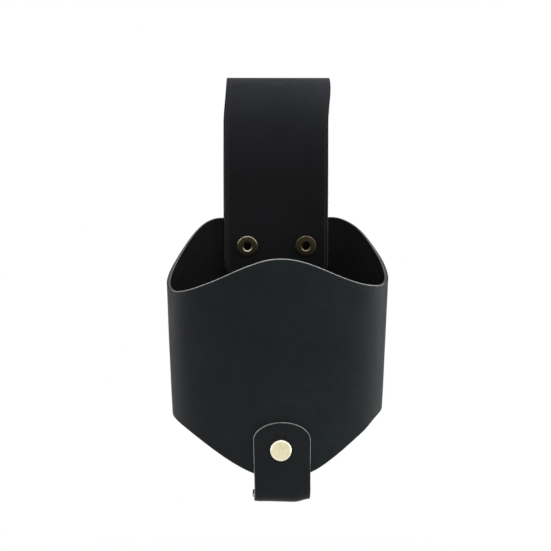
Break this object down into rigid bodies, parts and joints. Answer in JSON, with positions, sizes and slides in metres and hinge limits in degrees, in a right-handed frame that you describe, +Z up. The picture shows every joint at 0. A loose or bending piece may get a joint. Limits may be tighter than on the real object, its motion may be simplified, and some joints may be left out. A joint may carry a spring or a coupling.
{
  "type": "belt drink holder",
  "caption": "Leather belt holder for a bottle or can: a flattened oval sleeve with a wavy rim, a snap belt loop behind it and a riveted strap under the drink.",
  "frame": {"origin": "inside crown of the belt loop, midway between its two legs and across its width, where it hangs on a belt", "axes": "+Z up, -Y to the front of the holder, +Y to the wearer, +X to the right as seen from the front"},
  "size_m": [0.1034, 0.0497, 0.1952],
  "materials": {
    "black_leather": "smooth, semi-matt, with pale cut edges",
    "antique_brass": "dark antique",
    "spring_steel": "plain wire",
    "pale_gold": "polished"
  },
  "bodies": {
    "holder": {"sleeve": "black_leather", "belt_loop_front": "black_leather", "bottom_strap": "black_leather", "snap_post_left": "antique_brass", "snap_post_right": "antique_brass", "snap_stud_left": "antique_brass", "snap_stud_right": "antique_brass", "front_rivet_cap": "pale_gold", "front_rivet_post": "antique_brass", "rear_rivet_cap": "pale_gold", "rear_rivet_post": "antique_brass"},
    "loop_flap": {"belt_loop_flap": "black_leather", "snap_socket_left": "antique_brass", "snap_socket_right": "antique_brass", "snap_spring_left": "spring_steel", "snap_spring_right": "spring_steel", "snap_cap_left": "antique_brass", "snap_cap_right": "antique_brass"}
  },
  "joints": [
    {"name": "loop_flap_open", "type": "hinge", "parent": "holder", "child": "loop_flap", "pos_m": [0, 0.00933, -0.00828], "axis": [1, 0, 0], "range_deg": [0, 110]}
  ]
}
